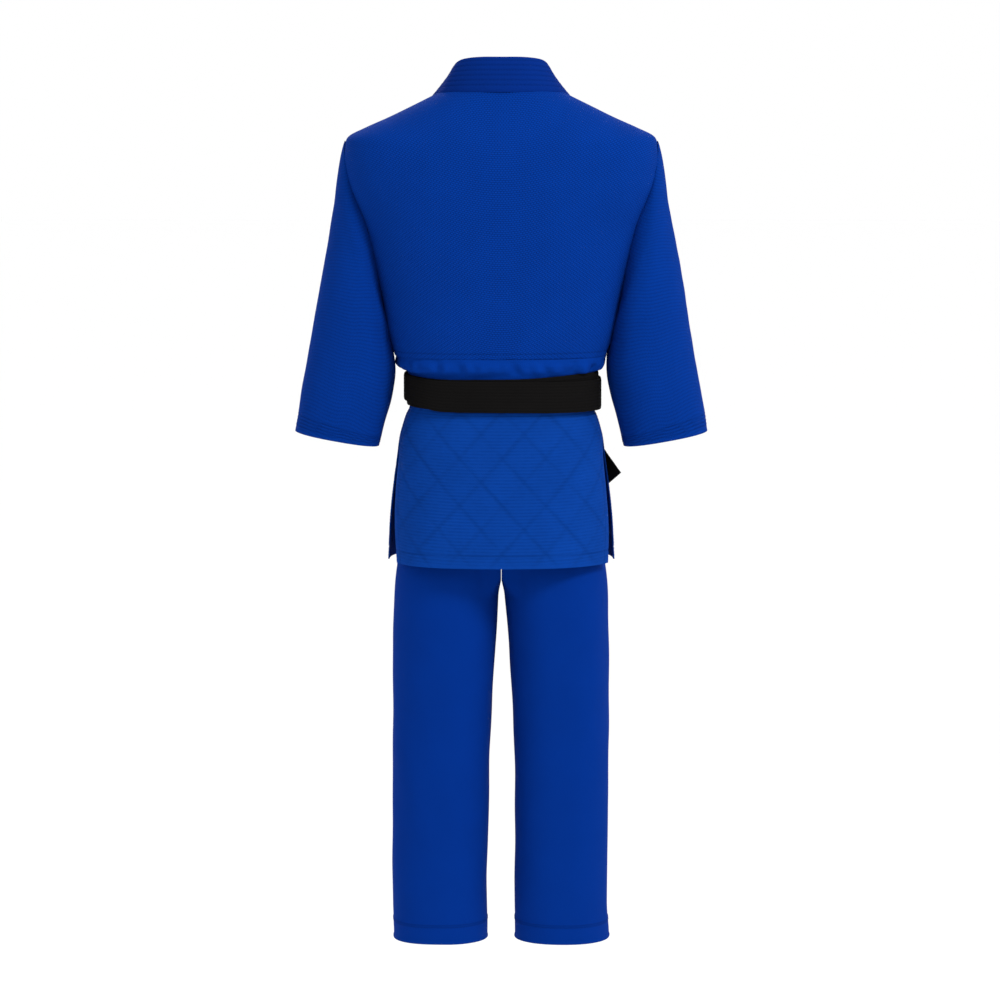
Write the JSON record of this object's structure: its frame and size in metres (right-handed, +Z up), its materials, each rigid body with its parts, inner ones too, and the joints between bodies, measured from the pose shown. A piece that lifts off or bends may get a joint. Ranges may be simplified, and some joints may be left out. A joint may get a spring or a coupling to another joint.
{
  "type": "martial arts uniform (judogi)",
  "caption": "Judo uniform hanging as worn: wrap-over woven jacket with quilted skirt, belt wrapped twice and knotted in front, loose straight trousers.",
  "frame": {"origin": "the nape: the middle of the seam between the back panel and the standing collar, where the wearer's neck or a hanger carries the uniform", "axes": "+Z up along the uniform's height, -Y the way the wearer faces, +X towards the wearer's left sleeve"},
  "size_m": [0.632, 0.2743, 1.3752],
  "materials": {
    "jacket": "woven cotton, matte",
    "trousers": "cotton drill, matte",
    "belt": "stitched cotton, matte"
  },
  "bodies": {
    "jacket_body": {"upper_back": "jacket", "upper_front_left": "jacket", "upper_front_right": "jacket", "lapel_left": "jacket", "lapel_right": "jacket", "collar_neck": "jacket", "skirt_top_back": "jacket", "skirt_top_front_left": "jacket", "skirt_top_front_right": "jacket", "lapel_waist_left": "jacket", "lapel_waist_right": "jacket", "belt_inner_wrap": "belt", "belt_outer_wrap": "belt", "belt_knot": "belt", "waistband": "trousers", "seat_left": "trousers", "seat_right": "trousers"},
    "sleeve_left": {"sleeve_left": "jacket", "cuff_hem_left": "jacket"},
    "sleeve_right": {"sleeve_right": "jacket", "cuff_hem_right": "jacket"},
    "skirt_back": {"skirt_back": "jacket"},
    "skirt_front_right": {"skirt_front_right": "jacket", "lapel_lower_right": "jacket"},
    "skirt_front_left": {"skirt_front_left": "jacket", "lapel_lower_left": "jacket"},
    "belt_tail_left": {"belt_tail_left": "belt"},
    "belt_tail_right": {"belt_tail_right": "belt"},
    "leg_left": {"leg_left": "trousers", "leg_hem_left": "trousers", "knee_patch_left": "trousers"},
    "leg_right": {"leg_right": "trousers", "leg_hem_right": "trousers", "knee_patch_right": "trousers"}
  },
  "joints": [
    {"name": "sleeve_left_swing", "type": "hinge", "parent": "jacket_body", "child": "sleeve_left", "pos_m": [0.22, 0, -0.085], "axis": [0, -1, 0], "range_deg": [0, 50]},
    {"name": "sleeve_right_swing", "type": "hinge", "parent": "jacket_body", "child": "sleeve_right", "pos_m": [-0.22, 0, -0.085], "axis": [0, 1, 0], "range_deg": [0, 50]},
    {"name": "skirt_back_lift", "type": "hinge", "parent": "jacket_body", "child": "skirt_back", "pos_m": [0, 0.086, -0.495], "axis": [1, 0, 0], "range_deg": [0, 30]},
    {"name": "skirt_front_right_lift", "type": "hinge", "parent": "jacket_body", "child": "skirt_front_right", "pos_m": [0, -0.098, -0.499], "axis": [-1, 0, 0], "range_deg": [0, 18]},
    {"name": "skirt_front_left_lift", "type": "hinge", "parent": "skirt_front_right", "child": "skirt_front_left", "pos_m": [0, -0.098, -0.499], "axis": [-1, 0, 0], "range_deg": [0, 18]},
    {"name": "belt_tail_left_lift", "type": "hinge", "parent": "skirt_front_left", "child": "belt_tail_left", "pos_m": [0, -0.1195, -0.508], "axis": [-1, 0, 0], "range_deg": [0, 60]},
    {"name": "belt_tail_right_lift", "type": "hinge", "parent": "skirt_front_left", "child": "belt_tail_right", "pos_m": [0, -0.1195, -0.508], "axis": [-1, 0, 0], "range_deg": [0, 60]},
    {"name": "leg_left_spread", "type": "hinge", "parent": "jacket_body", "child": "leg_left", "pos_m": [0.05, 0, -0.75], "axis": [0, -1, 0], "range_deg": [0, 25]},
    {"name": "leg_right_spread", "type": "hinge", "parent": "jacket_body", "child": "leg_right", "pos_m": [-0.05, 0, -0.75], "axis": [0, 1, 0], "range_deg": [0, 25]}
  ]
}
